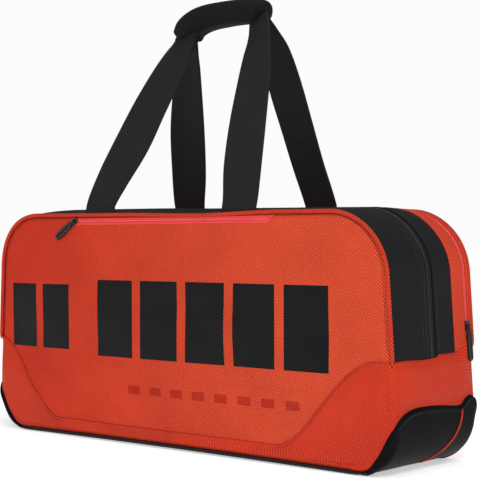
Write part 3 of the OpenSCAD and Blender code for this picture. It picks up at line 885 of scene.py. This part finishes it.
# ---- stitching: lockstitch rows of dark red and black thread ----
# Short raised stitches beside the piping on both panels, along the boot's seam on the front, and
# on the two sides of the main zip.

THREAD_GRAIN = (2000.0, 0.5, 0.7, 0.1)
red_thread, _ = grainy("red_thread", (0.24, 0.010, 0.006), (0.40, 0.03, 0.015), *THREAD_GRAIN)
black_thread, _ = grainy("black_thread", (0.012, 0.012, 0.013), (0.035, 0.035, 0.037),
                         *THREAD_GRAIN)
STITCH_LONG, STITCH_THICK = 0.0022, 0.0007


def stitches(name, finish, count, *spots):
    """Rows of stitches: each spot(t) gives the point and the way out for t from 0 to 1."""
    bm = bmesh.new()
    for spot in spots:
        for k in range(count):
            t = (k + 0.5) / count
            here, out = spot(t)
            here = fuller(here)
            before, after = spot(max(0.0, t - 0.2 / count))[0], spot(min(1.0, t + 0.2 / count))[0]
            ahead = (after - before).normalized()
            out = (out - ahead * out.dot(ahead)).normalized()
            across = out.cross(ahead)
            turned = Matrix((ahead * STITCH_LONG, across * STITCH_THICK,
                             out * STITCH_THICK)).transposed()
            for vert in bmesh.ops.create_cube(bm, size=1.0)["verts"]:
                taper = 0.55 if vert.co.z > 0 else 1.0
                vert.co = here + turned @ Vector((vert.co.x * taper, vert.co.y, vert.co.z))
    return join(name, bm, finish, smooth=False)


def panel_row(t):
    """Beside the piping on the front."""
    x, z, _, _, _ = arch(0.004 + 0.992 * t, 0.152, 0.0075)
    return Vector((x, front_depth(x, z) - 0.0002, z - edge_sag(x, z))), Vector((0, -1, 0))


def back_row(t):
    """Beside the piping on the back."""
    x, z, _, _, _ = arch(0.004 + 0.992 * t, 0.186, 0.0075)
    return Vector((x, back_depth(x, z) + 0.0002, z - edge_sag(x, z))), Vector((0, 1, 0))


def seam_row(t, side):
    """Beside the boot's seam on the front, on the boot."""
    start, stop = SEAM_SWEEP[side]
    x, z = start + (stop - start) * t, SEAM_FOOT + SEAM_RISE * ease(t)
    steep = SEAM_RISE * 6 * t * (1 - t) / (stop - start)
    size = math.hypot(1.0, steep)
    x, z = side * (x + 0.004 * steep / size), z - 0.004 / size
    return Vector((x, min(front_depth(x, z) - 0.0020, -0.0906), z)), Vector((0, -1, 0))


def zip_row(t, y):
    """Beside the main zip, at a depth."""
    x, z, nx, nz, _ = arch(0.003 + 0.994 * t, 0.147, -0.0006, crown(y))
    return Vector(settled(x, y, z)), Vector((nx, 0, nz))


piece = stitches("front_panel_stitches", red_thread, 360, panel_row)
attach(piece, "front_shell")
piece = stitches("back_panel_stitches", red_thread, 340, back_row)
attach(piece, "rear_shell")
piece = stitches("boot_seam_stitches", red_thread, 62,
                 lambda t: seam_row(t, 1.0), lambda t: seam_row(t, -1.0))
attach(piece, "base")
piece = stitches("gusset_middle_stitches", black_thread, 420, lambda t: zip_row(t, 0.0118))
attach(piece, "base")
piece = stitches("gusset_front_stitches", black_thread, 420, lambda t: zip_row(t, -0.0218))
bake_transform(piece)


# ---- guard cord: thin red line laid on each guard ----
# A fine red cord runs down each guard from its rear edge and forwards round the bottom corner.

# stations along it: the share of its run, and Y and height in millimetres, the ends given twice
GUARD_LINE = tuple(((k - 1) / 6, y, z) for k, (y, z) in enumerate((
    (53, 74), (53, 74), (52, 63), (49, 51), (43, 39), (34, 28), (22, 18), (8, 9.5), (8, 9.5))))


def guard_cord(flip):
    """The cord of one guard, just proud of its skin and tapered to its ends."""
    def spot(t):
        y, z = (value * MM for value in through(GUARD_LINE, t))
        return Vector((flip * end_x(z, -0.0029), y, z))

    def place(a, b):
        here, way = spot(a), spot(min(1.0, a + 0.01)) - spot(max(0.0, a - 0.01))
        across = way.cross(Vector((flip, 0, 0))).normalized()
        out = across.cross(way).normalized()
        turn, r = 2 * math.pi * b, 0.0013 * (1.0 - 0.9 * hump(min(a, 1 - a), 0.008))
        return here + across * r * math.cos(turn) + out * r * math.sin(turn), (a * 0.13, r * turn)

    return sealed(cloth(64, 10, place))


def with_other(bm, other):
    """Adds another mesh's shape to a mesh."""
    held = bpy.data.meshes.new("held")
    other.to_mesh(held)
    other.free()
    bm.from_mesh(held)
    bpy.data.meshes.remove(held)
    return bm


both_cords = join("guard_cords", with_other(guard_cord(1.0), guard_cord(-1.0)), piping_red)
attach(both_cords, "base")
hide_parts("guard_piping")


# ---- zips: woven tapes with a nylon coil under the edge ----
# Reverse-coil zips: the main one black, the rear one and the pocket's pink-red. Each half is sewn
# to its own side of the opening, and the sliders run on the coils.

TAPE_WEAVE = {"rough": 0.55, "pitch": 0.0010, "slant": 0.0, "broken": 0.6, "bump": 0.3}
black_tape = woven_finish("zip_black_tape", (0.006, 0.006, 0.007), (0.020, 0.020, 0.022),
                          **TAPE_WEAVE)
pink_tape = woven_finish("zip_pink_tape", (0.70, 0.035, 0.045), (0.93, 0.10, 0.09), **TAPE_WEAVE)
black_coil, _ = grainy("zip_black_coil", (0.008, 0.008, 0.009), (0.016, 0.016, 0.017), 2500.0,
                       0.3, 0.45, 0.1)
pink_coil, _ = grainy("zip_pink_coil", (0.80, 0.05, 0.06), (0.95, 0.12, 0.11), 2500.0,
                      0.3, 0.5, 0.1)


def with_coil(tape, ridge):
    """Lays a ribbed coil on a tape, in the second of its two materials."""
    for face in ridge.faces:
        face.material_index = 1
    return with_other(tape, ridge)


# every second ring of a coil stands out
COIL_TURNS = 1240


def zip_half(name, middle, way, width, foot, tape, coil, nodes):
    """One half of a zip over the top: a tape from the middle outwards, and its ribbed coil."""
    def lay(a, b):
        y = middle + way * (0.0007 + (width / 2 - 0.0002) * b)
        x, z, _, _, run = arch(a, foot, 0.0006 + 0.0006 * hump(b, 0.25), crown(y))
        return settled(x, y, z), (run, y)

    def wind(a, b):
        turn = math.pi * b
        y = middle + way * (0.0003 + 0.0017 * (1 - math.cos(turn)) / 2)
        high = 0.0004 + (0.0009 if round(a * COIL_TURNS) % 2 else 0.0002) * math.sin(turn)
        x, z, _, _, run = arch(a, foot, 0.0009 - high, crown(y))
        return settled(x, y, z), (run, y)

    bm, ridge = cloth(240, 6, lay), cloth(COIL_TURNS, 4, wind)
    if way < 0:
        for part in (bm, ridge):
            bmesh.ops.reverse_faces(part, faces=part.faces)
    piece = join(name, with_coil(bm, ridge), tape, coil, wall=0.0007)
    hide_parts(*nodes)
    return piece


half = zip_half("main_zip_rear_half", -0.005, 1, 0.020, 0.141, black_tape, black_coil,
                ["main_zip_tape_fixed", "main_zip_coil_fixed"])
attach(half, "base")
half = zip_half("main_zip_front_half", -0.005, -1, 0.020, 0.141, black_tape, black_coil,
                ["main_zip_tape_moving", "main_zip_coil_moving"])
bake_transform(half)
half = zip_half("rear_zip_front_half", 0.078, -1, 0.010, 0.162, pink_tape, pink_coil,
                ["rear_zip_tape_fixed", "rear_zip_coil_fixed"])
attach(half, "base")
half = zip_half("rear_zip_back_half", 0.078, 1, 0.010, 0.162, pink_tape, pink_coil,
                ["rear_zip_tape_moving", "rear_zip_coil_moving"])
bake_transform(half)

# the pocket tapes' columns across the zip, closer at the lips and the coil
lanes = [0.0010, 0.0016, 0.0026, 0.0036, 0.0046, 0.0056, 0.0062]
lanes = [-v for v in lanes[::-1]] + [0.0] + lanes
POCKET_TURNS = 520


def eased_edges(bm, part, offset):
    """Rounds every edge of a part a little."""
    edges = list(dict.fromkeys(edge for vert in part for edge in vert.link_edges))
    bmesh.ops.bevel(bm, geom=edges, offset=offset, offset_type="OFFSET", affect="EDGES",
                    segments=2, profile=0.5, material=-1)


def pocket_zip():
    """The pocket's zip in its slot: two folded tapes that stand a little proud, the coil between,
    and a slanting stop of folded tape at the right end."""
    def lay(a, b):
        v = lanes[round(b * (len(lanes) - 1))]
        x = ZIP_X[0] - 0.001 + (ZIP_X[1] - ZIP_X[0] + 0.005 + 0.8 * v) * a
        z = ZIP_Z + v
        lip = 0.0010 * hump(abs(v) - 0.0034, 0.0016)
        edge = 0.0016 * ease((abs(v) - 0.0050) / 0.0012)
        groove = -0.0008 * hump(abs(v) - 0.0014, 0.0008)
        y = front_depth(x, z) - 0.0002 - lip - groove + edge
        return (x, y, z - edge_sag(x, z)), (x, v)

    def wind(a, b):
        turn = math.pi * b
        x = ZIP_X[0] + (ZIP_X[1] - ZIP_X[0]) * a
        v = -0.0012 * math.cos(turn)
        high = 0.0004 + (0.0009 if round(a * POCKET_TURNS) % 2 else 0.0003) * math.sin(turn)
        return (x, front_depth(x, ZIP_Z) + 0.0004 - high, ZIP_Z + v), (x, v)

    bm = with_coil(cloth(200, len(lanes) - 1, lay), cloth(POCKET_TURNS, 4, wind))
    stop = bmesh.ops.create_cube(bm, size=1.0)["verts"]
    bmesh.ops.scale(bm, vec=(0.0125, 0.0014, 0.0018), verts=stop)
    bmesh.ops.rotate(bm, cent=(0, 0, 0), matrix=Matrix.Rotation(math.radians(-50), 3, "Y"),
                     verts=stop)
    place = (ZIP_X[1] + 0.0045, front_depth(ZIP_X[1], ZIP_Z) - 0.0008, ZIP_Z)
    bmesh.ops.translate(bm, vec=place, verts=stop)
    eased_edges(bm, stop, 0.0004)
    return bm


pocket = join("pocket_zip_tapes_and_coil", pocket_zip(), pink_tape, pink_coil)
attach(pocket, "front_shell")
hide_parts("pocket_zip_tapes", "pocket_zip_coil")


# ---- handles: four legs of wide black webbing ----
# Each handle is one length of ribbed webbing, sewn into the seam behind the corded edge. Its legs
# lean in to the grip, twist a little on the way, and gather where they meet the grip.

webbing_black = woven_finish("webbing_black", (0.006, 0.006, 0.007), (0.020, 0.020, 0.022), 0.62,
                             pitch=0.0017, slant=1.5708, broken=0.25, bump=0.7, shine=0.14)
# how far the handles lean in towards each other, and where their webbing leaves the seam
TILT = math.radians(14.9)
SEAM_Y, SEAM_Z = 0.0853, 0.3347


def leg(way, line):
    """One leg of webbing: stations of height, X, width, twist, and how far it stands out."""
    foot, head = line[0][0], line[-1][0]

    def spot(v):
        x, width, twist, out = through(line, v)
        tilt = TILT if v >= 0 else 0.0
        y = SEAM_Y - v * MM * math.sin(tilt) + out * MM * math.cos(tilt)
        z = SEAM_Z + v * MM * math.cos(tilt) + out * MM * math.sin(tilt)
        return Vector((x * MM, way * y, z)), width, twist

    def place(a, b):
        v = foot + (head - foot) * b
        here, width, twist = spot(v)
        run = (spot(min(head, v + 1))[0] - spot(max(foot, v - 1))[0]).normalized()
        outward = Vector((0, way * math.cos(TILT), math.sin(TILT)))
        across = outward.cross(run).normalized() * (-1 if way < 0 else 1)
        if across.x < 0:
            across = -across
        outward = run.cross(across) * (1 if run.cross(across).y * way > 0 else -1)
        t = math.radians(twist)
        wide = across * math.cos(t) + outward * math.sin(t)
        facing = outward * math.cos(t) - across * math.sin(t)
        s = 2 * a - 1
        cup = 0.0022 * (1 - s * s) * ease((v - 4) / 40)
        cup += 0.0006 * math.cos(s * 26) * ease((v - 200) / 60)
        return here + wide * (s * width * MM / 2) + facing * cup, (a * width * MM, v * MM)

    bm = cloth(18, 96, place)
    if way > 0:
        bmesh.ops.reverse_faces(bm, faces=bm.faces)
    return bm


def handle(name, way, legs, nodes):
    """The two legs of one handle, in webbing of one thickness."""
    piece = join(name, with_other(leg(way, legs[0]), leg(way, legs[1])), webbing_black, wall=0.0022)
    piece.modifiers["wall"].offset = 0.0
    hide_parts(*nodes)
    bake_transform(piece)


handle("front_handle_webbing_legs", -1,
       (((-36, -148, 60, 0, -0.4), (-6, -148, 60, 0, -0.4), (14, -147, 60, 0, 0),
         (50, -128, 62, -4, 3), (100, -99, 64, -8, 5), (150, -77, 64, -4, 5),
         (200, -55, 62, 2, 3), (232, -43, 54, 6, 0), (255, -39, 44, 8, -5),
         (274, -37, 36, 6, -10)),
        ((-36, 123, 60, 0, -0.4), (-6, 123, 60, 0, -0.4), (14, 123, 61, 0, 0),
         (60, 119, 66, 0, 2), (120, 116, 66, 2, 3), (180, 115, 62, 6, 4),
         (222, 112, 54, 10, 4), (250, 104, 44, 10, -2), (274, 92, 34, 6, -9))),
       ["front_handle_webbing", "front_handle_anchors"])
handle("rear_handle_webbing_legs", 1,
       (((-36, -129, 60, 0, -0.4), (-6, -129, 60, 0, -0.4), (14, -128, 62, 0, 0),
         (60, -118, 68, 0, 1), (120, -106, 68, 0, 2), (180, -90, 61, -4, 2),
         (225, -74, 50, -8, 0), (252, -61, 38, -8, -5), (274, -51, 32, -6, -10)),
        ((-36, 129, 55, 0, -0.4), (-6, 128.5, 55, 0, -0.4), (14, 126, 55, 0, 0),
         (60, 116.5, 56, 0, 1), (120, 107, 58, 0, 2), (180, 98.5, 59, 0, 2),
         (225, 95, 54, -6, 0), (252, 90, 44, -8, -5), (274, 84, 34, -6, -10))),
       ["rear_handle_webbing", "rear_handle_anchors"])


# ---- grip: padded wrap that holds the two handles together ----
# A padded cloth wrap in two halves, one sewn to each handle, which meet along hook and loop. It
# droops at its left end, where the wrap's layers step back over each other.

grip_cloth = woven_finish("grip_black_cloth", (0.005, 0.005, 0.006), (0.014, 0.014, 0.015), 0.75,
                          pitch=0.0013, slant=0.785, broken=0.5, bump=0.5, shine=0.08)
# stations along the grip: share of its length, X, height, half depth, half height, in millimetres
GRIP_LINE = ((0.00, -61, 566, 3, 3), (0.02, -59.5, 568.5, 11, 11), (0.09, -54.5, 576, 16, 15),
             (0.15, -50, 584, 18, 15), (0.17, -49, 588.5, 22, 20), (0.28, -37, 600, 24, 19),
             (0.45, -10, 608, 25, 18.5), (0.65, 30, 610, 25, 17.8), (0.82, 66, 609.5, 24, 17.6),
             (0.92, 86, 607, 22, 18), (0.97, 96, 604, 19, 16), (1.00, 101, 602, 4, 4))


def grip_half(way):
    """One padded half: a rounded back, and a flat face where the halves meet."""
    def place(a, b):
        x, z, deep, high = through(GRIP_LINE, b)
        x1, z1 = through(GRIP_LINE, min(1.0, b + 0.01))[:2]
        x0, z0 = through(GRIP_LINE, max(0.0, b - 0.01))[:2]
        along = Vector((x1 - x0, 0, z1 - z0)).normalized()
        up = Vector((-along.z, 0, along.x))
        if a < 0.8:
            turn = math.pi / 2 - math.pi * a / 0.8
            y = deep * max(0.0, math.cos(turn)) ** 0.8
            lift = high * math.sin(turn)
            y += 0.5 * noise.noise(Vector((x * 0.06, lift * 0.1, 2.0 + way)))
        else:
            y, lift = 0.35, -high + 2 * high * (a - 0.8) / 0.2
        y = max(y, 0.35)
        fold = 0.5 * math.sin(x * 0.8 + lift * 0.3) * hump(b - 0.14, 0.05)
        point = Vector((x, way * (y + fold), z)) + up * lift
        return point * MM, (x * MM, a * 0.09)

    return sealed(cloth(40, 90, place), gap=1e-5)


for tag, way, body in (("front", -1, "front_handle"), ("rear", 1, "rear_handle")):
    pad = join("grip_pad_" + tag, grip_half(way), grip_cloth)
    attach(pad, body)
    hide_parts("grip_%s_half" % tag)


# ---- hook and loop: strips on the two lips of the grip ----
# The grip's halves meet on fuzzy strips along their top and bottom lips.

fuzz_black, _ = grainy("hook_and_loop_fuzz", (0.008, 0.008, 0.009), (0.026, 0.026, 0.029), 3200.0,
                       0.85, 1.0, 1.0)


def lip_strip(way, sign):
    """A strip along a lip of one half, following the grip's droop."""
    def place(a, b):
        x, z, _, high = through(GRIP_LINE, 0.05 + 0.90 * a)
        x1, z1 = through(GRIP_LINE, 0.06 + 0.90 * a)[:2]
        along = Vector((x1 - x, 0, z1 - z)).normalized()
        lift = sign * (high - 1.2 - 4.5 * b)
        point = Vector((x - along.z * lift, way * 0.30, z + along.x * lift))
        return point * MM, (x * MM, b * 0.005)

    bm = cloth(60, 3, place)
    if way * sign < 0:
        bmesh.ops.reverse_faces(bm, faces=bm.faces)
    return bm


for node, way, body in (("grip_hook_strips", -1, "front_handle"),
                        ("grip_loop_strips", 1, "rear_handle")):
    strip = join(node + "_fuzz", with_other(lip_strip(way, 1), lip_strip(way, -1)), fuzz_black)
    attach(strip, body)
    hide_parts(node)


# ---- sliders and pulls ----
# Cast sliders with a black lacquer, each with a moulded pull: a flat pill with a raised grey line
# round a sunken middle, hung on the slider's pin by a short neck.

lacquer, lacquer_shader = grainy("slider_black_lacquer", (0.02, 0.02, 0.022),
                                 (0.05, 0.05, 0.053), 1200.0, 0.22, 0.42, 0.05)
lacquer_shader.inputs["Metallic"].default_value = 0.6


def coat(node, finish):
    """Gives a piece that is kept as it is its finish."""
    frame["nodes"][node].data.materials.clear()
    frame["nodes"][node].data.materials.append(finish)


for node in ("pocket_slider", "main_slider", "rear_slider"):
    coat(node, lacquer)
pull_black, _ = grainy("pull_black_moulding", (0.008, 0.008, 0.009), (0.018, 0.018, 0.019), 1500.0,
                       0.34, 0.5, 0.1, shine=0.12)
pull_grey, _ = grainy("pull_grey_line", (0.08, 0.08, 0.085), (0.13, 0.13, 0.135), 1500.0,
                      0.4, 0.55, 0.1)
# the pill's radius, the middles of its two round ends below the pin, and its thickness
PILL_R, PILL_HEAD, PILL_FOOT, PILL_THICK = 0.005, -0.011, -0.041, 0.0026


def pull(name, pin, turn):
    """A pull hanging from its pin: pill, neck and eye, turned into place."""
    bm = bmesh.new()
    ring = bmesh.ops.create_circle(bm, cap_ends=True, segments=40, radius=PILL_R)["verts"]
    bmesh.ops.rotate(bm, cent=(0, 0, 0), matrix=Matrix.Rotation(math.pi / 2, 3, "X"), verts=ring)
    for vert in ring:
        vert.co.z += PILL_HEAD if vert.co.z > -1e-7 else PILL_FOOT
    front = bmesh.ops.extrude_face_region(bm, geom=bm.faces[:])
    raised = [item for item in front["geom"] if isinstance(item, bmesh.types.BMVert)]
    bmesh.ops.translate(bm, vec=(0, PILL_THICK, 0), verts=raised)
    bmesh.ops.translate(bm, vec=(0, -PILL_THICK / 2, 0), verts=bm.verts)
    bmesh.ops.recalc_face_normals(bm, faces=bm.faces)
    flats = [face for face in bm.faces if abs(face.normal.y) > 0.9]
    rims = [edge for face in flats for edge in face.edges]
    bmesh.ops.bevel(bm, geom=rims, offset=0.0007, offset_type="OFFSET", affect="EDGES", segments=3,
                    profile=0.5, material=-1)
    flats = sorted((face for face in bm.faces if abs(face.normal.y) > 0.99),
                   key=lambda face: -face.calc_area())[:2]
    for face in flats:
        bmesh.ops.inset_region(bm, faces=[face], thickness=0.0007)
        line = bmesh.ops.inset_region(bm, faces=[face], thickness=0.0005)
        for between in line["faces"]:
            between.material_index = 1
        bmesh.ops.inset_region(bm, faces=[face], thickness=0.0003, depth=-0.0005)
    neck = bmesh.ops.create_cube(bm, size=1.0)["verts"]
    bmesh.ops.scale(bm, vec=(0.003, 0.0014, 0.0076), verts=neck)
    bmesh.ops.translate(bm, vec=(0, 0, -0.0040), verts=neck)
    eased_edges(bm, neck, 0.0003)
    eye = bmesh.ops.create_cone(bm, cap_ends=True, segments=28, radius1=0.0016, radius2=0.0016,
                                depth=0.003)["verts"]
    bmesh.ops.rotate(bm, cent=(0, 0, 0), matrix=Matrix.Rotation(math.pi / 2, 3, "Y"), verts=eye)
    bmesh.ops.transform(bm, matrix=Matrix.Translation(pin) @ turn, verts=bm.verts)
    piece = join(name + "_moulding", bm, pull_black, pull_grey)
    piece.data.set_sharp_from_angle(angle=math.radians(40))
    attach(piece, name)
    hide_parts(name)


pins = {joint["name"]: Vector(joint["pos_m"]) for joint in frame["joints"] if "pos_m" in joint}
pull("pocket_pull", pins["pocket_pull_lift"], Matrix.Rotation(math.radians(58), 4, "Y"))
pull("main_pull", pins["main_pull_lift"],
     Matrix.Rotation(LEAN, 4, "Y") @ Matrix.Rotation(math.radians(-90), 4, "Z"))
pull("rear_pull", pins["rear_pull_lift"],
     Matrix.Rotation(-LEAN, 4, "Y") @ Matrix.Rotation(math.radians(90), 4, "Z"))


# ---- linings and pads inside ----
# Grey lined walls: the pocket's inner wall with foam behind it, the divider, and the foam of the
# back. They are flat sheets cut to the outline, softly quilted.

lining_grey = woven_finish("lining_grey_cloth", (0.10, 0.10, 0.105), (0.20, 0.20, 0.21), 0.75,
                           pitch=0.0012, slant=0.0, broken=1.0, bump=0.3)
lining_rows = [0.0100 + 0.0040 * k for k in range(16)]
lining_rows += [LOW_Z + 0.0086 * k for k in range(1, 21)]
lining_rows += [0.2470 + 0.0792 * math.sin(math.radians(90 * k / 16)) for k in range(1, 17)]


def lining(name, y, wall, *nodes):
    """A flat inner sheet cut to the outline, quilted in soft upright bands."""
    def quilted(x, z):
        near = inside(x, z) - 0.0032
        return y - 0.0007 * abs(math.sin(math.pi * x / 0.060)) ** 0.5 * ease(near / 0.02)

    bm = cloth(COLUMNS, len(lining_rows) - 1,
               lambda a, b: face_point(a, b, lining_rows, quilted, 0.0034))
    piece = join(name, bm, lining_grey, wall=wall)
    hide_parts(*nodes)
    return piece


inner = lining("front_lining_pad", -0.0788, 0.0064, "front_wall", "front_foam", "front_wall_lower")
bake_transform(inner)
middle = lining("divider_pad", 0.0482, 0.0028, "divider")
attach(middle, "base")
outer = lining("back_lining_pad", 0.0832, 0.0030, "back_foam")
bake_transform(outer)
board_grey, _ = grainy("base_board_grey", (0.10, 0.10, 0.105), (0.15, 0.15, 0.155), 700.0,
                       0.5, 0.7, 0.2)
coat("base_board", board_grey)
